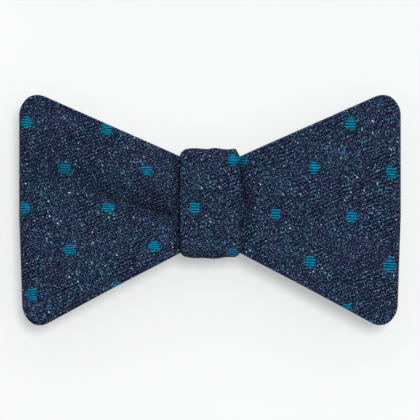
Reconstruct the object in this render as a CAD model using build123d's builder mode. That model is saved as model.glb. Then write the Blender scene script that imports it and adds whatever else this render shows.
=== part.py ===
from build123d import *
import os

# Pre-tied bow tie with an adjustable neck band. It lies on its back, with the band
# folded in two small zigzag stacks behind the wings.
# X runs across the bow, Y up it and Z out of its front. The origin is on the table,
# under the middle of the bow. Left and right are as seen from the front. Millimetres.

# ---- Driving dimensions -------------------------------------------------------------

# Front outline of the bow strip
wing_x = 56.9           # outer edge of a wing
wing_foot_x = 55.7      # the outer edge leans in to here at the lower corner
wing_lean_y = -2.0      # where the outer edge starts to lean
wing_top_y = 37.2       # upper corner, before it is rounded
wing_foot_y = -37.7     # lower corner, before it is rounded
wing_top_radius = 5.5
wing_foot_radius = 5.3
waist_x = 3.0           # half the straight stretch under the knot
waist_top_y = 13.4
waist_foot_y = -9.8
waist_radius = 2.0

# Folded strip, seen along its lower edge
back_z = 9.0            # outside of the back layer
fold_z = 15.6           # front layer at the outer fold
fold_radius = 3.2
crest_x = 17.0          # highest line of a wing
crest_z = 17.6
crest_radius = 25.0
dip_x = 6.5             # where the front layer dives under the knot
dip_z = 14.2
dip_radius = 8.0
ply = 0.5               # thickness of each of the three layers
seam_gap = 0.4          # between the two ends of the strip, behind the knot

# Knot
knot_x = 8.95           # half its width
knot_foot_y = -14.46
knot_top_y = 18.34
knot_back_z = 6.2
knot_front_z = 18.6
knot_front_radius = 4.0
knot_back_radius = 2.0
wrap_ply = 0.8
lining_ply = 0.5
lining_front_z = 15.2   # inside of the padded front of the lining
lining_corner = 0.5
thread = 0.5            # binding thread
turns = 5
turn_pitch = 0.6
closing_stitches = 6
closing_y = -2.0        # where the ends of the wrap meet, behind
closing_gap = 0.3

# Neck band
band_width = 18.0
band_ply = 0.8
band_y = 1.94           # its middle line
band_z = 8.0            # middle of the stretch behind the bow
fold_out_x = 53.0       # outer folds
fold_in_x = 12.5        # inner folds
pitch = 1.2             # from one folded layer to the next
band_foot_z = 0.4       # middle of the layer that lies on the table

# Hardware on the ends of the band
rail_in = 9.3           # half the clear width inside each frame
rail_out = 10.6         # half the overall width of each frame
eye_x = -37.0           # bar of the eye
eye_z = 1.5
eye_bar = 1.2
eye_plate = 1.2
tail = 10.0             # band turned back round the bar of the eye
hook_x = 24.6           # bar of the hook
hook_bar = 1.6
hook_plate = 1.0
hook_gap = 1.4          # between the tongue and its turned-back end
slider_x = 46.0         # middle bar of the slider
slider_bar = 1.0
slider_plate = 1.0
slider_length = 9.8
leg_z = 3.3             # middle of the upper leg, which runs through the slider
tuck = 4.0              # lower leg sewn round the slider's middle bar
clear = 0.1             # running clearance of the band in the hardware


# ---- Bow strip: outer fabric, interlining and inner fabric --------------------------

def front_outline(inset):
    """Hourglass outline of the strip, seen from the front."""
    corners = [
        (waist_x, waist_top_y),
        (wing_x, wing_top_y),
        (wing_x, wing_lean_y),
        (wing_foot_x, wing_foot_y),
        (waist_x, waist_foot_y),
    ]
    radii = [waist_radius, wing_top_radius, 30.0, wing_foot_radius, waist_radius]
    other_side = [(-x, y) for x, y in reversed(corners)]
    with BuildSketch() as outline:
        with BuildLine():
            FilletPolyline(*corners, *other_side, radius=radii + radii[::-1], close=True)
        make_face()
        if inset:
            offset(amount=-inset)
    return outline.sketch


def loop_section(inset):
    """Closed outline of the folded strip in XZ, filled in."""
    corners = [(dip_x, dip_z), (crest_x, crest_z), (wing_x, fold_z), (wing_x, back_z)]
    radii = [dip_radius, crest_radius, fold_radius, fold_radius]
    other_side = [(-x, z) for x, z in reversed(corners)]
    with BuildSketch(Plane.XZ) as section:
        with BuildLine():
            FilletPolyline(*corners, *other_side, radius=radii + radii[::-1], close=True)
        make_face()
        if inset:
            offset(amount=-inset)
    return section.sketch


def strip_layer(depth, edge_inset):
    """One layer of the folded strip, its outside `depth` below the strip's own."""
    with BuildPart() as layer:
        extrude(loop_section(depth), amount=wing_top_y, both=True)
        extrude(loop_section(depth + ply), amount=wing_top_y, both=True, mode=Mode.SUBTRACT)
        extrude(front_outline(edge_inset), amount=crest_z + 1, mode=Mode.INTERSECT)
        with BuildSketch(Plane.XY.offset(back_z - 1)):
            with Locations((0, (waist_top_y + waist_foot_y) / 2)):
                Rectangle(seam_gap, 2 * waist_top_y)
        extrude(amount=ply * 3 + 2, mode=Mode.SUBTRACT)
    return layer.part


for layer_name, depth, edge_inset in (
    ("bow_outer_fabric", 0, 0),
    ("bow_interlining", ply, 0.6),
    ("bow_inner_fabric", 2 * ply, 0.2),
):
    strip = strip_layer(depth, edge_inset)
    strip.label = layer_name
    os.makedirs("parts", exist_ok=True)
    export_step(strip, f"parts/{layer_name}.step")


# ---- Knot: binding thread, lining, wrap and closing stitches -------------------------

knot_mid_y = (knot_top_y + knot_foot_y) / 2


def knot_section(inset):
    """Filled outline of the knot in YZ."""
    corners = [
        (knot_foot_y + inset, knot_back_z + inset),
        (knot_top_y - inset, knot_back_z + inset),
        (knot_top_y - inset, knot_front_z - inset),
        (knot_foot_y + inset, knot_front_z - inset),
    ]
    back, front = knot_back_radius - inset, knot_front_radius - inset
    with BuildSketch(Plane.YZ) as section:
        with BuildLine():
            FilletPolyline(*corners, radius=[back, back, front, front], close=True)
        make_face()
    return section.sketch


with BuildPart() as knot_wrap:
    extrude(knot_section(0), amount=knot_x, both=True)
    fillet(knot_wrap.faces().filter_by(Axis.X).edges(), radius=0.6)
    extrude(knot_section(wrap_ply), amount=knot_x, both=True, mode=Mode.SUBTRACT)
    with BuildSketch(Plane.XY.offset(knot_back_z - 1)):
        with Locations((0, closing_y)):
            Rectangle(2 * knot_x, closing_gap)
    extrude(amount=wrap_ply + 2, mode=Mode.SUBTRACT)
knot_wrap.part.label = "knot_wrap"
export_step(knot_wrap.part, "parts/knot_wrap.step")

lining_height = knot_top_y - knot_foot_y - 2 * (wrap_ply + lining_ply)
lining_back_z = knot_back_z + wrap_ply + lining_ply
with BuildPart() as knot_interlining:
    extrude(knot_section(wrap_ply), amount=knot_x - 0.4, both=True)
    with BuildSketch(Plane.YZ):
        with Locations((knot_mid_y, (lining_front_z + lining_back_z) / 2)):
            RectangleRounded(lining_height, lining_front_z - lining_back_z, lining_corner)
    extrude(amount=knot_x, both=True, mode=Mode.SUBTRACT)
knot_interlining.part.label = "knot_interlining"
export_step(knot_interlining.part, "parts/knot_interlining.step")

waist_mid_y = (waist_top_y + waist_foot_y) / 2
waist_height = waist_top_y - waist_foot_y + 2 * clear
waist_depth = dip_z - back_z + 2 * clear
waist_mid_z = (dip_z + back_z) / 2
with BuildPart() as waist_binding_thread:
    for turn in range(turns):
        turn_x = (turn - (turns - 1) / 2) * turn_pitch - thread / 2
        with BuildSketch(Plane.YZ.offset(turn_x)):
            with Locations((waist_mid_y, waist_mid_z)):
                RectangleRounded(waist_height + 2 * thread, waist_depth + 2 * thread, 0.9)
                RectangleRounded(waist_height, waist_depth, 0.4, mode=Mode.SUBTRACT)
        extrude(amount=thread)
waist_binding_thread.part.label = "waist_binding_thread"
export_step(waist_binding_thread.part, "parts/waist_binding_thread.step")

stitch_length = 1.8
stitch_thick = 0.4
with BuildPart() as knot_closing_stitches:
    with BuildSketch(Plane.XY.offset(knot_back_z - stitch_thick)):
        with Locations((0, closing_y)):
            with GridLocations(2 * knot_x / closing_stitches, 0, closing_stitches, 1):
                SlotOverall(stitch_length, stitch_thick, rotation=70)
    extrude(amount=stitch_thick)
knot_closing_stitches.part.label = "knot_closing_stitches"
export_step(knot_closing_stitches.part, "parts/knot_closing_stitches.step")


# ---- Neck band ------------------------------------------------------------------------

# A plane at the band's upper edge: what is drawn on it in XZ is extruded to the lower one.
band_edge = Plane.XZ.offset(-(band_y + band_width / 2))


def band_panel(name, x_a, x_b, z):
    """A flat stretch of band from x_a to x_b."""
    with BuildPart() as panel:
        with BuildSketch(band_edge):
            with Locations(((x_a + x_b) / 2, z)):
                Rectangle(abs(x_b - x_a), band_ply)
        extrude(amount=band_width)
    panel.part.label = name
    export_step(panel.part, f"parts/{name}.step")


def band_fold(name, x, z_a, z_b, side):
    """The half turn between two stretches; side is the way that it bulges."""
    with BuildPart() as bend:
        with BuildSketch(band_edge):
            with BuildLine():
                CenterArc((x, (z_a + z_b) / 2), abs(z_a - z_b) / 2, -90 * side, 180)
            trace(line_width=band_ply)
        extrude(amount=band_width)
    bend.part.label = name
    export_step(bend.part, f"parts/{name}.step")


def band_path(name, points, radii):
    """A stretch of band that follows a bent line in XZ."""
    with BuildPart() as stretch:
        with BuildSketch(band_edge):
            with BuildLine():
                FilletPolyline(*points, radius=radii)
            trace(line_width=band_ply)
        extrude(amount=band_width)
    stretch.part.label = name
    export_step(stretch.part, f"parts/{name}.step")


band_panel("band_centre", -fold_out_x, fold_out_x, band_z)

level_z = [band_z - step * pitch for step in range(4)]

for step in (1, 2, 3):
    band_panel(f"left_band_{step + 1}", -fold_out_x, -fold_in_x, level_z[step])
for step in (1, 2):
    band_panel(f"right_band_{step + 1}", fold_in_x, fold_out_x, level_z[step])

band_fold("left_fold_1", -fold_out_x, level_z[0], level_z[1], -1)
band_fold("left_fold_2", -fold_in_x, level_z[1], level_z[2], 1)
band_fold("left_fold_3", -fold_out_x, level_z[2], level_z[3], -1)
band_fold("left_fold_4", -fold_in_x, level_z[3], band_foot_z, 1)
band_fold("right_fold_1", fold_out_x, level_z[0], level_z[1], 1)
band_fold("right_fold_2", fold_in_x, level_z[1], level_z[2], -1)
band_fold("right_fold_3", fold_out_x, level_z[2], leg_z, 1)

# Last left stretch: it runs out to the eye, round its bar, and back on top of itself.
eye_turn = eye_z - band_foot_z
tail_z = band_foot_z + band_ply + 0.02
band_path(
    "left_band_5",
    [
        (-fold_in_x, band_foot_z),
        (eye_x - eye_turn, band_foot_z),
        (eye_x - eye_turn, eye_z + eye_turn),
        (eye_x + 0.8, eye_z + eye_turn),
        (eye_x + tail / 2, tail_z),
        (eye_x + tail, tail_z),
    ],
    [eye_turn, eye_turn, 0.8, 1.5],
)

# Last right stretch: the upper leg runs through the slider and round the bar of the hook.
# The lower leg goes back to the slider, where its end is sewn round the middle bar.
hook_z = (leg_z + band_foot_z) / 2
with BuildPart() as right_band_4:
    with BuildSketch(band_edge):
        with BuildLine():
            Line((fold_out_x, leg_z), (hook_x, leg_z))
            CenterArc((hook_x, hook_z), leg_z - hook_z, 90, 180)
        trace(line_width=band_ply)
    extrude(amount=band_width)
right_band_4.part.label = "right_band_4"
export_step(right_band_4.part, "parts/right_band_4.step")

band_panel("right_return_leg", hook_x, slider_x - tuck, band_foot_z)

slider_turn = (slider_bar + band_ply) / 2 + clear
slider_z = band_foot_z + slider_turn
with BuildPart() as slider_loop:
    with BuildSketch(band_edge):
        with BuildLine():
            Line((slider_x - tuck, band_foot_z), (slider_x, band_foot_z))
            CenterArc((slider_x, slider_z), slider_turn, -90, 180)
            Line((slider_x, slider_z + slider_turn), (slider_x - 1.2, slider_z + slider_turn))
        trace(line_width=band_ply)
    extrude(amount=band_width)
slider_loop.part.label = "slider_loop"
export_step(slider_loop.part, "parts/slider_loop.step")


def bar_tack(name, x, z):
    """A row of short stitches across the band."""
    count = 9
    with BuildPart() as tack:
        with BuildSketch(Plane.XY.offset(z)):
            with Locations((x, band_y)):
                with GridLocations(0, (band_width - 3) / (count - 1), 1, count):
                    SlotOverall(2.6, 0.5, rotation=25)
        extrude(amount=0.25)
    tack.part.label = name
    export_step(tack.part, f"parts/{name}.step")


bar_tack("eye_bar_tack", eye_x + 0.75 * tail, tail_z + band_ply / 2)
bar_tack("slider_bar_tack", slider_x - 0.7 * tuck, band_foot_z + band_ply / 2)


# ---- Hardware: eye, hook and slider -----------------------------------------------------

frame_width = 2 * rail_out
# A plane at the upper ends of the bars, which are extruded to their lower ends.
bar_end = Plane.XZ.offset(-(band_y + rail_out))

eye_bridge = 1.7        # between the band's slot and the hook's slot
eye_slot = 3.6          # the slot that takes the hook
eye_reach = 4.5         # from the bar to the bridge
eye_end = 1.8
hook_slot_width = 12.0
eye_length = eye_reach + eye_bridge + eye_slot + eye_end
with BuildPart() as band_eye:
    with BuildSketch(Plane.XY.offset(eye_z - eye_plate / 2)):
        with Locations((eye_x - eye_length / 2, band_y)):
            Rectangle(eye_length, frame_width)
        with Locations((eye_x - eye_reach / 2, band_y)):
            Rectangle(eye_reach, 2 * rail_in, mode=Mode.SUBTRACT)
        with Locations((eye_x - eye_reach - eye_bridge - eye_slot / 2, band_y)):
            RectangleRounded(eye_slot, hook_slot_width, 1.2, mode=Mode.SUBTRACT)
    extrude(amount=eye_plate)
    fillet(band_eye.edges().filter_by(Axis.Z).group_by(Axis.X)[0], radius=2.5)
    chamfer(band_eye.faces().sort_by(Axis.Z)[-1].edges().filter_by(Axis.X, reverse=True), 0.2)
    with BuildSketch(bar_end):
        with Locations((eye_x, eye_z)):
            Circle(eye_bar / 2)
    extrude(amount=frame_width)
band_eye.part.label = "band_eye"
export_step(band_eye.part, "parts/band_eye.step")

tongue_width = 8.0
tongue_turn = (hook_gap + hook_plate) / 2
tongue_tip_x = 14.1     # where the tongue starts to turn back
hook_bridge_x = 18.6
with BuildPart() as band_hook:
    with BuildSketch(Plane.XY.offset(hook_z - hook_plate / 2)):
        with Locations(((hook_x + hook_bridge_x) / 2, band_y)):
            Rectangle(hook_x - hook_bridge_x, frame_width)
        with Locations((hook_x - eye_reach / 2, band_y)):
            Rectangle(eye_reach, 2 * rail_in, mode=Mode.SUBTRACT)
    extrude(amount=hook_plate)
    fillet(band_hook.edges().filter_by(Axis.Z).group_by(Axis.X)[0], radius=1.2)
    with BuildSketch(bar_end):
        with Locations((hook_x, hook_z)):
            Circle(hook_bar / 2)
    extrude(amount=frame_width)
    with BuildSketch(Plane.XZ.offset(-(band_y + tongue_width / 2))):
        with BuildLine():
            Line((hook_bridge_x + 0.2, hook_z), (tongue_tip_x, hook_z))
            CenterArc((tongue_tip_x, hook_z + tongue_turn), tongue_turn, 90, 180)
            Line((tongue_tip_x, hook_z + 2 * tongue_turn), (hook_bridge_x, hook_z + 2 * tongue_turn))
        trace(line_width=hook_plate)
    extrude(amount=tongue_width)
band_hook.part.label = "band_hook"
export_step(band_hook.part, "parts/band_hook.step")

slider_rim = 1.4
cheek = 3.0             # length of the cheeks that carry the middle bar
slider_top_z = leg_z + band_ply / 2 + clear
with BuildPart() as band_slider:
    with BuildSketch(Plane.XY.offset(slider_top_z)):
        with Locations((slider_x, band_y)):
            RectangleRounded(slider_length, frame_width, 1.2)
            Rectangle(slider_length - 2 * slider_rim, 2 * rail_in, mode=Mode.SUBTRACT)
    extrude(amount=slider_plate)
    chamfer(band_slider.faces().sort_by(Axis.Z)[-1].outer_wire().edges(), 0.2)
    with BuildSketch(Plane.XY.offset(slider_top_z)):
        with Locations((slider_x, band_y)):
            Rectangle(cheek, frame_width)
            Rectangle(cheek, 2 * rail_in, mode=Mode.SUBTRACT)
    extrude(amount=slider_z - slider_bar / 2 - slider_top_z)
    with BuildSketch(bar_end):
        with Locations((slider_x, slider_z)):
            Circle(slider_bar / 2)
    extrude(amount=frame_width)
band_slider.part.label = "band_slider"
export_step(band_slider.part, "parts/band_slider.step")
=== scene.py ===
"""A ready-tied bow tie in flecked navy tweed, lying on its folded neck band."""
import math

import bmesh
import bpy
import numpy as np
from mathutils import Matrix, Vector


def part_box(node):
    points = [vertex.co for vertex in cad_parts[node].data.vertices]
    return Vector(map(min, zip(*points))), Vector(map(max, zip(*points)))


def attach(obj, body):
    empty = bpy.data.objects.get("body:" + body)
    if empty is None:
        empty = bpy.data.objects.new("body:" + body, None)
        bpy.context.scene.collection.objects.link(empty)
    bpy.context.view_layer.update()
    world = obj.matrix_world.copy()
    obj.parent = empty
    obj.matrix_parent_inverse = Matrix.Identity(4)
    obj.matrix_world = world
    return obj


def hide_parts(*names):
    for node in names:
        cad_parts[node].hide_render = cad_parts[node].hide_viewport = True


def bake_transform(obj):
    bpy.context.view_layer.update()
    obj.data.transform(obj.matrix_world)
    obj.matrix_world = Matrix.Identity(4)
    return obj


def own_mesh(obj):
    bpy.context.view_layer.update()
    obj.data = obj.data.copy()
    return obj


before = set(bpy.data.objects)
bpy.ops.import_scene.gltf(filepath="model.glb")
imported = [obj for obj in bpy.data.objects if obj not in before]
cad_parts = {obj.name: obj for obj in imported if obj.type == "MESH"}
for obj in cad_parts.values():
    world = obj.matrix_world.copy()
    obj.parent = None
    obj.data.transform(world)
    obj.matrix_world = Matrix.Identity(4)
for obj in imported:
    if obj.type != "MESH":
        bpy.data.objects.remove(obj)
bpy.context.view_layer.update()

MM = 0.001                          # a millimetre, in metres


def span(node):
    """Lowest and highest corner of a solid node, in millimetres."""
    low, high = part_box(node)
    return np.array(low) / MM, np.array(high) / MM


shell_low, shell_high = span("bow_outer_fabric")
knot_low, knot_high = span("knot_wrap")
band_low, band_high = span("band_centre")
stitch_low, stitch_high = span("knot_closing_stitches")

# ---- The bow's measures, in millimetres ---------------------------------------------
WING_X = shell_high[0]              # outer edge of a wing
WAIST_X = 3.0                       # the strip is narrowest up to here
WAIST_TOP, WAIST_FOOT = 13.4, -9.8
CORNER_TOP, CORNER_FOOT = 37.2, -37.7
RADIUS_TOP, RADIUS_FOOT = 5.5, 5.3
LEAN_FROM = -2.0                    # below this the outer edge leans in
LEAN = 0.034
HALF_STACK = 0.75                   # half of the three layers' thickness
CLOTH = 0.42                        # thickness of the tweed
INTERLINING = 0.2                   # thickness of the interlining
FOLD_TOP = 15.6                     # height of the folded wings at their outer edges
BACK_Z = shell_low[2] + HALF_STACK
FOLD_Z = FOLD_TOP - HALF_STACK
KNOT_X = knot_high[0]
KNOT_Y = (knot_low[1] + knot_high[1]) / 2
BAND_Y = (band_low[1] + band_high[1]) / 2
BAND_WIDTH = band_high[1] - band_low[1]
BAND_PLY = band_high[2] - band_low[2]
SEAM_Y = (stitch_low[1] + stitch_high[1]) / 2
SEAM_GAP = 0.3                      # between the wrap's two ends, behind
DOT_ACROSS, DOT_DOWN = 23.0, 27.6   # repeat of the pin dots in the flat cloth


# ---- Small tools for meshes -----------------------------------------------------------
def smooth(x, low, high):
    """0 below low, 1 above high, and a soft step between."""
    t = np.clip((np.asarray(x, float) - low) / (high - low), 0, 1)
    return t * t * (3 - 2 * t)


def bell(x, width):
    """1 at 0, and a soft fall to 0 on both sides."""
    return np.exp(-0.5 * (np.asarray(x, float) / width) ** 2)


def grid_piece(name, points, cloth_uv):
    """A mesh whose grid of vertices is laid on points[i, j], in millimetres.

    cloth_uv[i, j] says where that point lies in the flat cloth.
    """
    rows, columns = points.shape[:2]
    mesh = bpy.data.meshes.new(name)
    bm = bmesh.new()
    bmesh.ops.create_grid(bm, x_segments=rows - 1, y_segments=columns - 1, size=1)
    for vert in bm.verts:
        i = round((vert.co.x + 1) / 2 * (rows - 1))
        j = round((vert.co.y + 1) / 2 * (columns - 1))
        vert.co = (i, j, 0)
    layer = bm.loops.layers.uv.new("cloth")
    for face in bm.faces:
        face.smooth = True
        for loop in face.loops:
            i, j = round(loop.vert.co.x), round(loop.vert.co.y)
            loop[layer].uv = cloth_uv[i, j] * MM
    for vert in bm.verts:
        vert.co = Vector(points[round(vert.co.x), round(vert.co.y)]) * MM
    bm.to_mesh(mesh)
    bm.free()
    piece = bpy.data.objects.new(name, mesh)
    bpy.context.scene.collection.objects.link(piece)
    return piece


def thicken(piece, thickness, offset=-1.0):
    """Solidifies a sheet; offset -1 grows it against its normals."""
    wall = piece.modifiers.new("thickness", "SOLIDIFY")
    wall.thickness = thickness * MM
    wall.offset = offset
    wall.use_even_offset = False


def run_lengths(points):
    """How far each of a row of points lies from the first one, along the row."""
    steps = np.linalg.norm(np.diff(points, axis=0), axis=1)
    return np.concatenate([[0], np.cumsum(steps)])


def normals_of(points):
    """Unit normals of a grid of points, evened out so that layers don't cross in a crease."""
    for _ in range(12):
        points = points.copy()
        points[1:-1] = (points[:-2] + 2 * points[1:-1] + points[2:]) / 4
        points[:, 1:-1] = (points[:, :-2] + 2 * points[:, 1:-1] + points[:, 2:]) / 4
    along = np.gradient(points, axis=0)
    across = np.gradient(points, axis=1)
    normal = np.cross(along, across)
    return normal / np.linalg.norm(normal, axis=2, keepdims=True)


def thread_piece(name, runs, radius):
    """Sewing thread along several runs of points, as one mesh of round tubes."""
    curve = bpy.data.curves.new(name, "CURVE")
    curve.dimensions = "3D"
    curve.bevel_depth = radius * MM
    curve.bevel_resolution = 3
    curve.resolution_u = 4
    curve.use_fill_caps = True
    for run in runs:
        spline = curve.splines.new("NURBS")
        spline.points.add(len(run) - 1)
        for point, place in zip(spline.points, run):
            point.co = (*(np.array(place) * MM), 1)
        spline.order_u = 3
        spline.use_endpoint_u = True
    maker = bpy.data.objects.new(name + "_path", curve)
    bpy.context.scene.collection.objects.link(maker)
    bpy.context.view_layer.update()
    mesh = bpy.data.meshes.new_from_object(maker)
    mesh.name = name
    bpy.data.objects.remove(maker)
    piece = bpy.data.objects.new(name, mesh)
    bpy.context.scene.collection.objects.link(piece)
    for polygon in mesh.polygons:
        polygon.use_smooth = True
    return piece


# ---- Small tools for materials ----------------------------------------------------------
def paint(code):
    """Linear colour of a hex code."""
    values = [int(code[k:k + 2], 16) / 255 for k in (0, 2, 4)]
    linear = [v / 12.92 if v <= 0.04045 else ((v + 0.055) / 1.055) ** 2.4 for v in values]
    return (*linear, 1.0)


class Recipe:
    """Builds one material's nodes."""

    def __init__(self, name, roughness, **settings):
        self.material = bpy.data.materials.new(name)
        self.material.use_nodes = True
        self.tree = self.material.node_tree
        self.shader = self.tree.nodes["Principled BSDF"]
        self.shader.inputs["Roughness"].default_value = roughness
        for socket, value in settings.items():
            self.shader.inputs[socket.replace("_", " ")].default_value = value

    def put(self, socket, value):
        """Links a node's output to a socket, or writes a constant on it."""
        if isinstance(value, bpy.types.NodeSocket):
            self.tree.links.new(value, socket)
        elif value is not None:
            socket.default_value = value

    def node(self, kind, inputs=(), **settings):
        """A new node, with its settings made and its inputs filled."""
        made = self.tree.nodes.new("ShaderNode" + kind)
        for key, value in settings.items():
            setattr(made, key, value)
        for key, value in dict(inputs).items():
            self.put(made.inputs[key], value)
        return made

    def math(self, operation, a, b=None, c=None):
        return self.node("Math", {0: a, 1: b, 2: c}, operation=operation).outputs[0]

    def step(self, value, low, high):
        """0 to 1 as value goes from low to high."""
        inputs = {"Value": value, "From Min": low, "From Max": high}
        return self.node("MapRange", inputs, interpolation_type="SMOOTHSTEP").outputs[0]

    def mix(self, factor, a, b, blend_type="MIX"):
        """Colour a at factor 0, and b, or a blended with b, at factor 1."""
        made = self.node("Mix", data_type="RGBA", blend_type=blend_type)
        self.put(made.inputs[0], factor)
        self.put(made.inputs[6], a)
        self.put(made.inputs[7], b)
        return made.outputs[2]

    def ramp(self, value, stops):
        """Colours along value; each stop is a position and a hex code."""
        made = self.node("ValToRGB", {0: value})
        elements = made.color_ramp.elements
        while len(elements) < len(stops):
            elements.new(0.5)
        for element, (position, colour) in zip(elements, stops):
            element.position = position
            element.color = paint(colour)
        return made.outputs[0]

    def shade(self, colour, factor):
        """The colour, multiplied by a grey factor."""
        return self.mix(1.0, colour, factor, "MULTIPLY")

    def wave(self, value, period=1.0):
        """A sine along value."""
        return self.math("SINE", self.math("MULTIPLY", value, math.tau / period))

    def flat_cloth(self):
        """Where the point lies in the flat cloth, in millimetres."""
        cloth = self.node("UVMap", uv_map="cloth").outputs[0]
        return self.node("VectorMath", {0: cloth, "Scale": 1 / MM}, operation="SCALE").outputs[0]

    def turned(self, vector, degrees, size):
        """Coordinates in cells of size (across, along), with the cells turned."""
        made = self.node("Mapping", {"Vector": vector}, vector_type="TEXTURE")
        made.inputs["Rotation"].default_value = (0, 0, math.radians(degrees))
        made.inputs["Scale"].default_value = (*size, 1)
        return made.outputs[0]

    def woven(self, vector, row, yarn, size):
        """Coordinates that count cells along rows at one angle and yarns at another."""
        row_x, row_y = math.cos(math.radians(row)), math.sin(math.radians(row))
        yarn_x, yarn_y = math.cos(math.radians(yarn)), math.sin(math.radians(yarn))
        area = row_x * yarn_y - row_y * yarn_x
        counts = [self.node("VectorMath", {0: vector, 1: weights}, operation="DOT_PRODUCT")
                  for weights in ((yarn_y / area / size[0], -yarn_x / area / size[0], 0),
                                  (-row_y / area / size[1], row_x / area / size[1], 0))]
        places = {"X": counts[0].outputs["Value"], "Y": counts[1].outputs["Value"]}
        return self.node("CombineXYZ", places).outputs[0]

    def cells(self, vector, randomness=1.0):
        """Cells one unit wide, each with a colour of its own."""
        inputs = {"Vector": vector, "Scale": 1.0, "Randomness": randomness}
        return self.node("TexVoronoi", inputs, voronoi_dimensions="2D")

    def noise(self, vector, scale, detail=2.0):
        inputs = {"Vector": vector, "Scale": scale, "Detail": detail}
        return self.node("TexNoise", inputs, noise_dimensions="3D").outputs[0]

    def split(self, vector):
        return self.node("SeparateXYZ", {0: vector}).outputs

    def finish(self, colour, height=None, strength=1.0, distance=0.1):
        """Puts on the colour and the relief, its distance in millimetres."""
        self.put(self.shader.inputs["Base Color"], colour)
        if height is not None:
            inputs = {"Height": height, "Strength": strength, "Distance": distance * MM}
            self.put(self.shader.inputs["Normal"], self.node("Bump", inputs).outputs[0])
        return self.material


# ---- Materials ----------------------------------------------------------------------------
def yarn_grains(r, flat):
    """Short yarn grains that lean to the left in twill rows, each of its own colour."""
    grain = r.cells(r.woven(flat, 24, 126, (0.37, 0.60)), 0.58)
    pick = r.split(grain.outputs["Color"])
    slate = r.ramp(pick[0], [(0.0, "1f2e45"), (0.45, "324863"), (0.82, "456180"),
                             (0.96, "5b829e"), (1.0, "7eaac0")])
    indigo = r.ramp(pick[0], [(0.0, "272943"), (0.5, "3c4165"), (0.9, "545b87"),
                              (1.0, "6c83ac")])
    tint = r.math("MULTIPLY_ADD", pick[2], 0.34, r.noise(flat, 0.10, 3.0))
    body = r.mix(r.step(tint, 0.56, 0.84), slate, indigo)
    grain_face = r.step(grain.outputs["Distance"], 0.46, 0.20)
    return r.mix(grain_face, paint("01040a"), body), grain_face, pick


def fine_ribs(r, flat, body):
    """Faint ribs where the yarns of neighbouring rows fall in line."""
    rank = r.wave(r.split(r.woven(flat, 129, 39, (0.78, 0.78)))[1])
    return r.shade(body, r.math("MULTIPLY_ADD", rank, 0.22, 1.0))


def twill_lines(r, flat, body):
    """Twill lines, clear in some places and lost in others."""
    line = r.split(r.woven(flat, 25, 115, (1.04, 1.04)))[1]
    wave = r.wave(r.math("MULTIPLY_ADD", r.noise(flat, 0.12), 2.0, line))
    clear = r.step(r.noise(flat, 0.075), 0.44, 0.55)
    trough = r.math("MULTIPLY", r.step(wave, 0.1, -0.8), clear)
    body = r.shade(body, r.math("MULTIPLY_ADD", trough, -0.76, 1.0))
    body = r.shade(body, r.math("MULTIPLY_ADD", clear, 0.28, 1.0))
    return body, r.math("MULTIPLY", wave, r.math("MULTIPLY", clear, 0.4))


def slubs(r, flat, body):
    """Scarce bright flecks, in loose clusters."""
    slub = r.cells(r.woven(flat, 10, 118, (0.36, 0.72)))
    chance = r.split(slub.outputs["Color"])
    scarce = r.math("MULTIPLY_ADD", r.noise(flat, 0.13), -0.18, 1.074)
    lit = r.math("MULTIPLY", r.math("GREATER_THAN", chance[0], scarce),
                 r.step(slub.outputs["Distance"], 0.55, 0.20))
    fleck = r.ramp(chance[1], [(0.0, "1c90c6"), (0.48, "3a90c0"), (0.74, "76b0cc"),
                               (0.92, "acd0da"), (1.0, "e4f0f0")])
    return r.mix(lit, body, fleck), r.math("MULTIPLY", lit, 0.6)


def pin_dots(r, flat, body, pick):
    """Two staggered lattices of teal floats, ragged at the rim, with ribs across them whose lit
    crests and shaded troughs are painted.
    """
    across, along, _ = r.split(flat)
    u = r.math("PINGPONG", across, DOT_ACROSS / 2)
    v = r.math("PINGPONG", along, DOT_DOWN / 2)
    far_u = r.math("SUBTRACT", DOT_ACROSS / 2, u)
    far_v = r.math("SUBTRACT", DOT_DOWN / 2, v)
    near = [r.math("SQRT", r.math("MULTIPLY_ADD", a, r.math("MULTIPLY", a, 1.3),
                                  r.math("MULTIPLY", b, r.math("MULTIPLY", b, 0.82))))
            for a, b in ((u, v), (far_u, far_v))]
    ragged = r.math("MULTIPLY_ADD", pick[1], 0.8, -0.40)
    dot = r.step(r.math("ADD", r.math("MINIMUM", *near), ragged), 1.84, 1.70)
    # painted highlight and shade: rib crests are painted bright teal, rib troughs near black, with
    # some random tone
    rib = r.math("MULTIPLY_ADD", r.wave(along, 0.8), 0.38, 0.5)
    painted_rib_light_and_tone = r.math("MULTIPLY_ADD", pick[2], 0.35, rib)
    teal = r.ramp(painted_rib_light_and_tone, [(0.0, "00080f"), (0.38, "002838"), (0.8, "00607c"), (1.0, "0082a6")])
    return r.mix(dot, body, teal)


def tweed():
    """Navy melange twill with slubs of blue, cyan and white, and woven teal pin dots."""
    r = Recipe("flecked_tweed", 0.92, Sheen_Weight=0.02, Sheen_Roughness=0.5,
               Specular_IOR_Level=0.06)
    flat = r.flat_cloth()
    body, grain_face, pick = yarn_grains(r, flat)
    body = fine_ribs(r, flat, body)
    body, line_height = twill_lines(r, flat, body)
    body, slub_height = slubs(r, flat, body)
    body = pin_dots(r, flat, body, pick)
    height = r.math("ADD", r.math("ADD", grain_face, line_height), slub_height)
    return r.finish(body, height, 0.5, 0.10)


def canvas():
    """Off-white woven interlining."""
    r = Recipe("canvas_interlining", 0.95, Specular_IOR_Level=0.2)
    cloth = r.node("UVMap", uv_map="cloth").outputs[0]
    x, y, _ = r.split(r.turned(cloth, 0, (0.5 * MM, 0.5 * MM)))
    weave = r.math("MULTIPLY_ADD", r.math("MULTIPLY", r.wave(x), r.wave(y)), 0.5, 0.5)
    slack = r.noise(cloth, 300, 3.0)
    tone = r.ramp(r.math("MULTIPLY", weave, slack), [(0.0, "a39d8c"), (0.6, "d8d2c2")])
    return r.finish(tone, weave, 0.5, 0.15)


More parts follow.
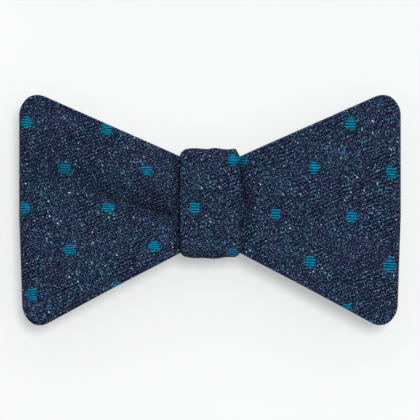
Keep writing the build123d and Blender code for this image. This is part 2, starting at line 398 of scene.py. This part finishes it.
def grosgrain():
    """Navy band cloth with fine cross ribs and a firm edge."""
    r = Recipe("band_grosgrain", 0.62, Sheen_Weight=0.15, Specular_IOR_Level=0.3)
    flat = r.flat_cloth()
    across, along, _ = r.split(flat)
    rib = r.wave(along, 0.72)
    fine = r.wave(across, 0.3)
    rub = r.noise(flat, 0.5, 4.0)
    edge = r.step(r.math("ABSOLUTE", across), BAND_WIDTH / 2 - 1.1, BAND_WIDTH / 2 - 0.7)
    light = r.math("MULTIPLY_ADD", rib, 0.22, r.math("MULTIPLY_ADD", rub, 0.5, 0.15))
    tone = r.ramp(light, [(0.0, "0c1220"), (0.5, "182238"), (1.0, "2a3856")])
    tone = r.mix(edge, tone, paint("101828"))
    height = r.math("MULTIPLY_ADD", fine, 0.2, r.math("MULTIPLY_ADD", rib, 0.5, 0.5))
    return r.finish(tone, height, 0.6, 0.12)


def sewing_thread():
    """Twisted navy thread with a waxy gloss."""
    r = Recipe("waxed_thread", 0.5, Specular_IOR_Level=0.4)
    place = r.node("TexCoord").outputs["Object"]
    twist = r.split(r.turned(place, 35, (0.32 * MM, 0.32 * MM)))
    ply = r.wave(r.math("ADD", twist[0], twist[2]))
    fuzz = r.noise(place, 4000, 2.0)
    tone = r.ramp(r.math("MULTIPLY_ADD", ply, 0.25, fuzz), [(0.2, "1c2640"), (0.8, "4a5c80")])
    return r.finish(tone, ply, 0.5, 0.05)


def nickel():
    """Nickel plate with fine rubbing marks, duller where it has been handled."""
    r = Recipe("nickel_plate", 0.25, Metallic=1.0)
    place = r.node("TexCoord").outputs["Object"]
    brushed = r.noise(r.turned(place, 12, (0.012, 0.0004)), 1.0, 5.0)
    handled = r.noise(place, 320, 4.0)
    tone = r.ramp(brushed, [(0.25, "b4b2ac"), (0.75, "c8c6c0")])
    tone = r.mix(r.step(handled, 0.50, 0.80), tone, paint("9c9990"))
    gloss = r.math("MULTIPLY_ADD", handled, 0.3, r.math("MULTIPLY_ADD", brushed, 0.12, 0.05))
    r.put(r.shader.inputs["Roughness"], gloss)
    return r.finish(tone, brushed, 0.15, 0.02)


def table_top():
    """Frosted table, lit from below as well as from above."""
    r = Recipe("pale_table", 0.8, Specular_IOR_Level=0.0, Emission_Color=paint("ffffff"),
               Emission_Strength=0.385)
    grey = r.noise(r.node("TexCoord").outputs["Object"], 6.0)
    return r.finish(r.ramp(grey, [(0.3, "adadad"), (0.7, "b0b0b0")]))


TWEED, CANVAS_CLOTH, BAND_CLOTH = tweed(), canvas(), grosgrain()
THREAD, METAL = sewing_thread(), nickel()


def dress(piece, material, body):
    """Gives a new piece its material and the body that it moves with."""
    piece.data.materials.clear()
    piece.data.materials.append(material)
    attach(piece, body)
    return piece


# ---- Shape of the bow strip -----------------------------------------------------------------
def edge_y(x, side):
    """Height of the strip's upper (side 1) or lower (-1) edge at a distance from the middle."""
    waist, corner, radius = ((WAIST_TOP, CORNER_TOP, RADIUS_TOP) if side > 0
                             else (-WAIST_FOOT, -CORNER_FOOT, RADIUS_FOOT))
    slope = (corner - waist) / (WING_X - WAIST_X)
    line = waist + slope * np.maximum(x - WAIST_X, 0)
    centre_x = WING_X - radius
    centre_y = waist + slope * (centre_x - WAIST_X) - radius * math.hypot(1, slope)
    turn_x = centre_x - radius * slope / math.hypot(1, slope)
    arc = centre_y + np.sqrt(np.maximum(radius ** 2 - (x - centre_x) ** 2, 0))
    return side * np.where(x > turn_x, arc, line)


def crease(offset, width):
    """A valley one unit deep with a narrow bottom."""
    return np.exp((0.3 - np.hypot(offset, 0.3)) / width)


def left_pleat(out, y):
    """Depth of the left wing's pleat: sharp at the knot, then wide and shallow."""
    beyond = out.clip(0)
    offset = y - (-2.9 + 0.285 * out)
    flank = np.where(offset > 0, 1.3, 1.7) + 0.07 * beyond
    depth = 8.6 * np.exp(-beyond / 26) * crease(offset, flank)
    depth += 2.0 * smooth(beyond, -2, 16) * bell(offset, np.where(offset > 0, 4.6, 7.5))
    return depth - 1.2 * bell(offset - 8.0, 3.0) * bell(beyond - 4, 7)


def right_pleat(out, y):
    """Depth of the right wing's hollow beside the knot, which fades into a shallow pleat."""
    beyond = out.clip(0)
    offset = y - (2.4 - 0.55 * out)
    depth = 11.0 * (1 - smooth(out, -2.6, 5.0)) * bell(offset - 0.4, 5.4)
    return depth + 2.0 * np.exp(-beyond / 20) * bell(offset + 1, 2.2 + 0.12 * beyond)


def wing_crown(x, y, away, across):
    """How far the wings swell towards the front; across is -1 and 1 at their edges."""
    droop = np.where((x < 0) & (across < 0), 0.0, across ** 2)
    crown = 0.5 * (1 - droop) * smooth(away, 12, 26)
    crown += 2.2 * smooth(-x, 14, 32) * smooth(-away, -55, -44) * smooth(y, 10, 31)
    return crown - 1.4 * smooth(x, 10, 16) * smooth(-x, -44, -20) * across ** 2 * (across < 0)


def knot_tuck(x, y, out, across):
    """Depth of the dip along the knot's sides, less where a pleat has taken it up."""
    taken = np.where(x < 0, bell(y + 2.7, 2.6), bell(y - 3.2, 5.5))
    tuck = np.where(x < 0, 3.6, 2.6) * bell(out - 0.3, 1.1) * (1 - 0.7 * across ** 4)
    return tuck * (1 - 0.85 * taken)


def front_z(x, y):
    """Middle of the front layers above the table; x is signed."""
    away = np.abs(x)
    out = away - KNOT_X
    half = (edge_y(away, 1) - edge_y(away, -1)) / 2
    middle = (edge_y(away, 1) + edge_y(away, -1)) / 2
    across = (y - middle) / half
    crest = FOLD_Z + 2.1 * smooth(-away, -53, -18)
    dive = 3.2 * (1 - smooth(away, 5.5, 10.5))
    pleat = np.where(x < 0, left_pleat(out, y), right_pleat(out, y))
    ripple = 0.16 * np.sin(0.21 * x + 0.9 * np.sin(0.11 * y)) * np.sin(0.17 * y + 0.8)
    level = crest - dive - pleat + wing_crown(x, y, away, across) - knot_tuck(x, y, out, across)
    level += ripple * smooth(away, 14, 30)
    lowest = BACK_Z + 2 * HALF_STACK + 0.3
    return lowest + 0.3 * np.logaddexp(0, (level - lowest) / 0.3)


def back_z(x, y):
    """Middle of the back layers above the table."""
    away = np.abs(x)
    swell = 0.35 * smooth(away, 10, 22) * smooth(-away, -52, -40)
    return BACK_Z + swell * (1 + 0.4 * np.sin(0.13 * y + 0.7))


BACK_ROWS, FOLD_ROWS, FRONT_ROWS = 44, 22, 170
ACROSS_ROWS = 96
ROLL_ROWS = 7                        # round each rolled edge
END_GAP = 0.2                        # half the gap between the strip's two ends


def middle_surface(inset):
    """Points of the strip's middle surface: rows along the loop, columns across it.

    The first row is the strip's end behind the knot, on the left; then the left fold,
    the front from left to right, the right fold and the other end.
    """
    share = np.linspace(-1, 1, ACROSS_ROWS + 1)
    rows = []

    def add(x, outer_x, z_rule):
        top, foot = edge_y(outer_x, 1) - inset, edge_y(outer_x, -1) + inset
        y = (top + foot) / 2 + share * (top - foot) / 2
        lean = LEAN * np.maximum(LEAN_FROM - y, 0) * smooth(outer_x, 20, WING_X)
        signed = np.sign(x) * (np.abs(x) - lean)
        rows.append(np.column_stack([signed + 0 * y, y, z_rule(signed, y)]))

    radius = (FOLD_Z - BACK_Z) / 2
    fold_x = WING_X - HALF_STACK - radius
    for x in np.linspace(END_GAP, fold_x, BACK_ROWS, endpoint=False):
        add(x, x, back_z)
    for turn in np.linspace(-math.pi / 2, math.pi / 2, FOLD_ROWS, endpoint=False):
        x = fold_x + radius * math.cos(turn)
        outer = fold_x + (radius + HALF_STACK) * math.cos(turn)
        level = (math.sin(turn) + 1) / 2
        add(x, outer, lambda s, y, level=level: (
            back_z(s, y) + level * (front_z(s, y) - back_z(s, y))))
    reach = np.linspace(1, -1, FRONT_ROWS + 1)
    for x in fold_x * reach:
        add(x, abs(x), front_z)
    other = [row * [-1, 1, 1] for row in rows[:BACK_ROWS + FOLD_ROWS]][::-1]
    return np.array(rows + other)[::-1]


def cloth_map(points):
    """Where each point lies in the flat cloth, in millimetres, counted in dot repeats."""
    x, y = points[..., 0], points[..., 1]
    front = slice(BACK_ROWS + FOLD_ROWS, BACK_ROWS + FOLD_ROWS + FRONT_ROWS + 1)
    path = run_lengths(points[:, points.shape[1] // 2])
    left_end, right_end = path[front][0], path[front][-1]
    fold_x = x[front].max()
    run = np.where(path < left_end, path - left_end - fold_x, path - right_end + fold_x)
    run[front] = np.linspace(-fold_x, fold_x, FRONT_ROWS + 1)
    run = run[:, None] + 0 * x
    on_right = smooth(run, -KNOT_X, KNOT_X)
    near = np.clip(run, -WING_X, WING_X)
    # the cloth is cut and folded by hand, so the dots' rows are bent a little
    hitch = bell(near - 9, 6) * smooth(y, 2, 14)      # where the knot pulls it in
    right_step = -1.414 + 0.0480 * run - 0.0032 * y + 6e-5 * near * (y - near)
    right_step += 4e-5 * y ** 2 - 0.026 * hitch
    left_step = -1.249 + 0.0426 * run + 0.0056 * y + 9e-5 * near * y
    left_step += 4e-5 * near ** 2 - 9e-5 * y ** 2
    step = on_right * right_step + (1 - on_right) * left_step
    left_row = -0.518 + y * (0.0469 - 0.000145 * np.abs(near))
    right_row = -0.495 + 0.0017 * np.abs(near) + y / 27.7 - 0.054 * hitch
    row = on_right * right_row + (1 - on_right) * left_row
    return np.stack([step * DOT_ACROSS, row * DOT_DOWN], axis=-1)


def rolled(surface, offset, start, end):
    """Adds the rolled edges of a layer to a middle surface.

    The flat part is moved by offset along the normals. At both edges, columns go on round
    a roll, from the angle start to the angle end, in degrees from the layer's own side.
    """
    normal = normals_of(surface)
    flat = surface + offset * normal
    turns = np.radians(np.linspace(start, end, ROLL_ROWS + 1)[1:])
    sides = []
    for edge, inner in ((0, 1), (-1, -2)):
        out = surface[:, edge] - surface[:, inner]
        out = out / np.linalg.norm(out, axis=1, keepdims=True)
        roll = [surface[:, edge] + HALF_STACK * (math.sin(t) * out + math.cos(t) * normal[:, edge])
                for t in turns]
        sides.append(np.stack(roll, axis=1))
    return np.concatenate([sides[0][:, ::-1], flat, sides[1]], axis=1)


def roll_uv(uv, extra):
    """Cloth coordinates for the columns that a roll adds."""
    steps = extra * np.arange(1, ROLL_ROWS + 1) / ROLL_ROWS
    low = uv[:, :1] - np.stack([0 * steps, steps], axis=-1)[None, ::-1]
    high = uv[:, -1:] + np.stack([0 * steps, steps], axis=-1)[None]
    return np.concatenate([low, uv, high], axis=1)


def make_bow():
    """Outer fabric, interlining and inner fabric of the folded strip."""
    surface = middle_surface(HALF_STACK)
    uv = cloth_map(surface)
    outer = grid_piece("wing_outer_cloth", rolled(surface, HALF_STACK, 0, 118), roll_uv(uv, 1.5))
    thicken(outer, CLOTH)
    inner = grid_piece("wing_inner_cloth", rolled(surface, -HALF_STACK, 180, 126), roll_uv(uv, 0.7))
    thicken(inner, CLOTH, 1.0)
    core = grid_piece("wing_interlining", surface[:, 1:-1], uv[:, 1:-1])
    thicken(core, INTERLINING, 0.0)

    for piece, node, material, slot in (
        (outer, "bow_outer_fabric", TWEED, "tweed"),
        (inner, "bow_inner_fabric", TWEED, "tweed"),
        (core, "bow_interlining", CANVAS_CLOTH, "interlining"),
    ):
        dress(piece, material, "bow")
        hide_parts(node)


# ---- Knot -------------------------------------------------------------------------------------
WRAP_HEM = 0.75                      # radius of the wrap's turned-in sides


def ring_path(inset, front_radius, back_radius, count):
    """Rounded outline of the knot in YZ, from the seam in its back, with its normals."""
    low_y, high_y = knot_low[1] + inset, knot_high[1] - inset
    low_z, high_z = knot_low[2] + inset, knot_high[2] - inset
    middle_z = (low_z + high_z) / 2
    corners = [(high_y, low_z, back_radius), (high_y, high_z, front_radius),
               (low_y, high_z, front_radius), (low_y, low_z, back_radius)]
    dense, outward = [], []
    start = -90
    for y, z, radius in corners:
        radius = max(radius - inset, 0.3)
        centre = np.array([y - math.copysign(radius, y - KNOT_Y),
                           z - math.copysign(radius, z - middle_z)])
        for angle in np.radians(np.linspace(start, start + 90, 24)):
            direction = np.array([math.cos(angle), math.sin(angle)])
            dense.append(centre + radius * direction)
            outward.append(direction)
        start += 90
    down = [[0.0, -1.0]]
    ends = [[[SEAM_Y + side * SEAM_GAP / 2, low_z]] for side in (1, -1)]
    dense = np.concatenate([ends[0], dense, ends[1]])
    outward = np.concatenate([down, outward, down])
    length = run_lengths(dense)
    even = np.linspace(0, length[-1], count + 1)
    path = np.column_stack([np.interp(even, length, dense[:, k]) for k in (0, 1)])
    normal = np.column_stack([np.interp(even, length, outward[:, k]) for k in (0, 1)])
    return path, normal / np.linalg.norm(normal, axis=1, keepdims=True), even


def wrap_points(path, normal, flat_x, turns):
    """The wrap's cloth: its sides turn in, and its top and foot aren't quite straight."""
    half = KNOT_X - WRAP_HEM
    hem_x, hem_drop = half + WRAP_HEM * np.sin(turns), WRAP_HEM * (1 - np.cos(turns))
    x_out = np.concatenate([-hem_x[::-1], flat_x, hem_x])
    drop = np.concatenate([hem_drop[::-1], 0 * flat_x, hem_drop])
    side = x_out / KNOT_X
    y, z = path[:, :1], path[:, 1:]
    # at the top the left corner is rounded and the right corner slants
    top, foot = knot_high[1], knot_low[1]
    round_left = 1.9 * (1 - np.sqrt(1 - ((y - top + 1.9) / 1.9).clip(0, 1) ** 2))
    slant_right = 1.0 * ((y - top + 2.2) / 2.2).clip(0, 1)
    round_foot = 1.3 * (1 - np.sqrt(1 - ((foot + 1.3 - y) / 1.3).clip(0, 1) ** 2))
    x = x_out - side * (np.where(side > 0, slant_right, round_left) + round_foot)
    front = smooth(z, knot_high[2] - 4.6, knot_high[2] - 1)
    crown = 0.45 * front * (1 - side ** 2) - 0.25 * front * bell(side - 0.62, 0.13)
    folds = 0.10 * np.sin(7.5 * side + 0.5 * np.sin(y * 0.4)) * smooth(z - knot_low[2], 3, 8)
    push = crown + folds - drop
    points = np.stack([x + 0 * y, y + normal[:, :1] * push, z + normal[:, 1:] * push], axis=-1)
    foot_lift = (0.2 + 0.35 * side ** 2) * smooth(-y, -foot - 5, -foot)
    dents = 0.10 + 0.22 * bell(side + 0.08, 0.11) + 0.10 * bell(side - 0.75, 0.22)
    points[..., 1] += foot_lift - dents * smooth(y, top - 4, top)
    return points


def make_knot():
    """The wrap round the waist."""
    path, normal, length = ring_path(0, 3.4, 2.2, 150)
    half = KNOT_X - WRAP_HEM
    flat_x = np.linspace(-1, 1, 41) * half
    turns = np.radians(np.linspace(0, 200, 11)[1:])
    # the cloth's own coordinates count from a dot above the middle of the front
    on_front = path[:, 1] > 12
    middle_run = length[np.argmin(np.abs(path[:, 0] - 1) + 100 * ~on_front)]
    along = middle_run + 1.0 - length
    across = np.concatenate([-half - (WRAP_HEM * turns)[::-1], flat_x, half + WRAP_HEM * turns])
    uv = np.stack([across[None, :] - 6.9 + 0 * along[:, None],
                   (along[:, None] - 14.9) * DOT_DOWN / 28 + 0 * across], axis=-1)
    wrap = grid_piece("knot_wrap_cloth", wrap_points(path, normal, flat_x, turns), uv)
    thicken(wrap, CLOTH)
    dress(wrap, TWEED, "bow")
    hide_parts("knot_wrap")


def make_padding():
    """The interlining under the wrap."""
    side_gap = 1.3
    path, _, length = ring_path(1.5, 4.0, 2.0, 96)
    across = np.linspace(-1, 1, 15) * (KNOT_X - side_gap)
    points = np.stack([across[None, :] + 0 * path[:, :1], path[:, :1] + 0 * across,
                       path[:, 1:] + 0 * across], axis=-1)
    uv = np.stack([across[None, :] + 0 * path[:, :1], length[:, None] + 0 * across], axis=-1)
    padding = grid_piece("knot_padding", points, uv)
    thicken(padding, 0.5)
    dress(padding, CANVAS_CLOTH, "bow")
    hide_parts("knot_interlining")


def make_binding():
    """Thread wound round the waist, in a rounded square."""
    low, high = span("waist_binding_thread")
    radius = 0.25
    centre = (low + high) / 2
    half = (high - low) / 2 - radius
    turns, steps = 5, 28
    run = []
    for k in range(turns * steps + 1):
        angle = math.tau * k / steps
        y = centre[1] + half[1] * math.copysign(abs(math.sin(angle)) ** 0.35, math.sin(angle))
        z = centre[2] + half[2] * math.copysign(abs(math.cos(angle)) ** 0.35, math.cos(angle))
        run.append((low[0] + radius + (2 * half[0]) * k / (turns * steps), y, z))
    binding = thread_piece("waist_binding", [run], radius)
    dress(binding, THREAD, "bow")
    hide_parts("waist_binding_thread")


def make_closing():
    """Slanting stitches that close the wrap behind."""
    back = knot_low[2]
    count = 6
    spacing = 2 * KNOT_X / count
    y_a, y_b = stitch_low[1] + 0.1, stitch_high[1] - 0.1
    runs = []
    for k in range(count):
        x = (k - (count - 1) / 2) * spacing
        lean = 0.25 + 0.06 * math.sin(2.3 * k)
        runs.append([(x - lean, y_a, back + 0.5), (x - lean, y_a, back - 0.05),
                     (x, (y_a + y_b) / 2, back - 0.22), (x + lean, y_b, back - 0.05),
                     (x + lean, y_b, back + 0.5)])
    closing = thread_piece("knot_closing_thread", runs, 0.16)
    dress(closing, THREAD, "bow")
    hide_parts("knot_closing_stitches")


# ---- Neck band --------------------------------------------------------------------------------
FOLD_OUT, FOLD_IN = band_high[0], span("right_band_2")[0][0]
LOWEST = BAND_PLY / 2                # middle of the band where it lies on the table
HAIR = 0.04                          # stretches stop short by this, to clear each other


def line_to(path, x, z, step=1.5):
    """Goes on in a straight line to (x, z)."""
    last = np.array(path[-1])
    count = max(1, round(np.linalg.norm(np.array([x, z]) - last) / step))
    path += [tuple(last + (np.array([x, z]) - last) * k / count) for k in range(1, count + 1)]
    return path


def turn_to(path, centre, degrees, count=14):
    """Goes on round an arc about centre."""
    offset = np.array(path[-1]) - np.array(centre)
    for k in range(1, count + 1):
        angle = math.radians(degrees * k / count)
        c, s = math.cos(angle), math.sin(angle)
        path.append((centre[0] + c * offset[0] - s * offset[1],
                     centre[1] + s * offset[0] + c * offset[1]))
    return path


def band_piece(name, path, node, start=0.0, body=None, bends=None):
    """A stretch of band along a path in XZ; bends is (body, body, start, end), of which only its
    presence is used: then the piece is baked in place and tied to no body.

    Gives back how far along the band it ends, for the next stretch to start from.
    """
    path = np.array(path)
    if not bends:
        for end, inner in ((0, 1), (-1, -2)):
            way = path[inner] - path[end]
            path[end] += HAIR * way / np.linalg.norm(way)
    length = run_lengths(path)
    across = np.linspace(-1, 1, 15) * BAND_WIDTH / 2
    points = np.stack([path[:, :1] + 0 * across, BAND_Y + across + 0 * path[:, :1],
                       path[:, 1:] + 0 * across], axis=-1)
    uv = np.stack([across + 0 * path[:, :1], start + length[:, None] + 0 * across], axis=-1)
    piece = grid_piece(name, points, uv)
    thicken(piece, BAND_PLY, 0.0)
    soft_edge = piece.modifiers.new("pressed edge", "BEVEL")
    soft_edge.width = 0.16 * MM
    soft_edge.segments = 2
    soft_edge.limit_method = "ANGLE"
    piece.data.materials.append(BAND_CLOTH)
    if bends:
        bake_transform(piece)
    else:
        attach(piece, body)
    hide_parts(node)
    return length[-1] + start


def middle_heights(node):
    """Heights of the middle of the upper and of the lower ply of a fold."""
    low, high = span(node)
    return high[2] - BAND_PLY / 2, low[2] + BAND_PLY / 2


def make_folds(side, word, count):
    """The zigzag of one side: half turns, and the flat stretches between them."""
    bodies = ["bow"] + [f"{word}_span_{n}" for n in range(2, 6)]
    run = FOLD_OUT
    for k in range(1, count + 1):
        node = f"{word}_fold_{k}"
        top, foot = middle_heights(node)
        outer = k % 2 == 1
        x = side * (FOLD_OUT if outer else FOLD_IN)
        bulge = side if outer else -side
        ends = ((x * MM, BAND_Y * MM, top * MM), (x * MM, BAND_Y * MM, foot * MM))
        path = turn_to([(x, top)], (x, (top + foot) / 2), -180 * bulge)
        run = band_piece(node + "_cloth", path, node, run,
                         bends=(bodies[k - 1], bodies[k], *ends))
        if k < count:
            path = line_to([(x, foot)], side * (FOLD_IN if outer else FOLD_OUT), foot)
            run = band_piece(f"{word}_band_{k + 1}_cloth", path, f"{word}_band_{k + 1}",
                             run, body=bodies[k])


def make_left_end():
    """Out to the eye, round its bar and back on itself."""
    eye_x, eye_z = -37.0, 1.5
    path = line_to([(-FOLD_IN, LOWEST)], eye_x, LOWEST)
    turn_to(path, (eye_x, eye_z), -180)
    line_to(path, eye_x + 1.0, 2 * eye_z - LOWEST, 0.5)
    line_to(path, eye_x + 4.2, LOWEST + BAND_PLY + 0.06, 0.5)
    line_to(path, eye_x + 10, LOWEST + BAND_PLY + 0.02)
    band_piece("left_band_end_cloth", path, "left_band_5", start=220,
               body="left_span_5")


def make_right_end():
    """Through the slider, round the hook's bar and back to the slider's middle bar."""
    leg_z = 3.3
    hook_x, hook_z = 24.6, (leg_z + LOWEST) / 2
    path = line_to([(FOLD_OUT, leg_z)], hook_x, leg_z)
    turn_to(path, (hook_x, hook_z), 180)
    band_piece("right_band_leg_cloth", path, "right_band_4", start=180,
               body="right_span_4")
    loop_x = span("right_return_leg")[1][0]
    band_piece("right_return_leg_cloth", line_to([(hook_x, LOWEST)], loop_x, LOWEST),
               "right_return_leg", start=212, body="right_span_4")
    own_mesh(bpy.data.objects["right_return_leg_cloth"])
    slider_x, slider_turn = 46.0, 1.0
    path = line_to([(loop_x, LOWEST)], slider_x, LOWEST)
    turn_to(path, (slider_x, LOWEST + slider_turn), 180)
    line_to(path, slider_x - 1.2, LOWEST + 2 * slider_turn, 0.4)
    band_piece("slider_loop_cloth", path, "slider_loop", start=230,
               body="slider")


def make_band():
    """The neck band: behind the bow, then folded away on both sides."""
    centre_z = (band_low[2] + band_high[2]) / 2
    band_piece("band_behind_bow", line_to([(-FOLD_OUT, centre_z)], FOLD_OUT, centre_z),
               "band_centre", body="bow", start=-FOLD_OUT)
    make_folds(-1, "left", 4)
    make_folds(1, "right", 3)
    make_left_end()
    make_right_end()


def make_tacks():
    """Rows of stitches that close the ends of the band."""
    for node, name, body in (("eye_bar_tack", "eye_tack_thread", "left_span_5"),
                             ("slider_bar_tack", "slider_tack_thread", "slider")):
        low, high = span(node)
        x = (low[0] + high[0]) / 2
        runs = []
        count, selvedge = 15, 1.2
        for k in range(count):
            y = BAND_Y + (k / (count - 1) - 0.5) * (BAND_WIDTH - 2 * selvedge)
            lean = 0.55 if k % 2 else -0.55
            runs.append([(x - 1, y - lean, low[2] - 0.2), (x - 1, y - lean, low[2] + 0.1),
                         (x, y, low[2] + 0.17), (x + 1, y + lean, low[2] + 0.1),
                         (x + 1, y + lean, low[2] - 0.2)])
        tack = thread_piece(name, runs, 0.14)
        dress(tack, THREAD, body)
        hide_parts(node)


def make_hardware():
    """The eye, the hook and the slider keep their solid shapes, and get the plating."""
    for node in ("band_eye", "band_hook", "band_slider"):
        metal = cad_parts[node]
        metal.data.materials.clear()
        metal.data.materials.append(METAL)


# ---- Table, light and camera ----------------------------------------------------------------------
def lay_table():
    """A wide pale table top, just under the band."""
    mesh = bpy.data.meshes.new("pale_table_top")
    bm = bmesh.new()
    bmesh.ops.create_grid(bm, x_segments=1, y_segments=1, size=3.0)
    bmesh.ops.translate(bm, vec=(0, 0, -0.2 * MM), verts=bm.verts)
    bm.to_mesh(mesh)
    bm.free()
    table = bpy.data.objects.new("pale_table_top", mesh)
    table.data.materials.append(table_top())
    bpy.context.scene.collection.objects.link(table)


def light_room():
    """A wide soft light over the bow's upper edges, in a room that is dark elsewhere."""
    world = bpy.data.worlds.new("studio")
    world.use_nodes = True
    tree = world.node_tree
    place = tree.nodes.new("ShaderNodeTexCoord")
    toward = tree.nodes.new("ShaderNodeVectorMath")
    toward.operation = "DOT_PRODUCT"
    toward.inputs[1].default_value = Vector((0.22, 0.5, 0.85)).normalized()
    wide = tree.nodes.new("ShaderNodeMapRange")
    wide.interpolation_type = "SMOOTHSTEP"
    for name, value in (("From Min", 0.1), ("From Max", 0.95), ("To Min", 0.03), ("To Max", 0.9)):
        wide.inputs[name].default_value = value
    tree.links.new(place.outputs["Generated"], toward.inputs[0])
    tree.links.new(toward.outputs["Value"], wide.inputs["Value"])
    background = tree.nodes["Background"]
    background.inputs["Color"].default_value = (0.97, 0.985, 1.0, 1)
    tree.links.new(wide.outputs[0], background.inputs["Strength"])
    bpy.context.scene.world = world


def hang_key_light():
    """A large soft lamp, nearly overhead."""
    light = bpy.data.lights.new("key_softbox", "SUN")
    light.angle = math.radians(16)
    light.energy = 2.6
    lamp = bpy.data.objects.new("key_softbox", light)
    lamp.rotation_euler = Vector((0.13, 0.146, 1.0)).to_track_quat("Z", "Y").to_euler()
    bpy.context.scene.collection.objects.link(lamp)


def place_camera():
    """Straight above the bow, with a long lens."""
    distance, field = 1.2, 0.1253
    camera = bpy.data.cameras.new("camera")
    camera.lens = camera.sensor_width * distance / field
    camera.clip_end = 20
    eye = bpy.data.objects.new("camera", camera)
    eye.location = (0, 0, distance + 12 * MM)
    bpy.context.scene.collection.objects.link(eye)
    bpy.context.scene.camera = eye
    bpy.context.scene.view_settings.view_transform = "Standard"


lay_table()
light_room()
hang_key_light()
place_camera()
make_bow()
make_knot()
make_padding()
make_binding()
make_closing()
make_band()
make_tacks()
make_hardware()
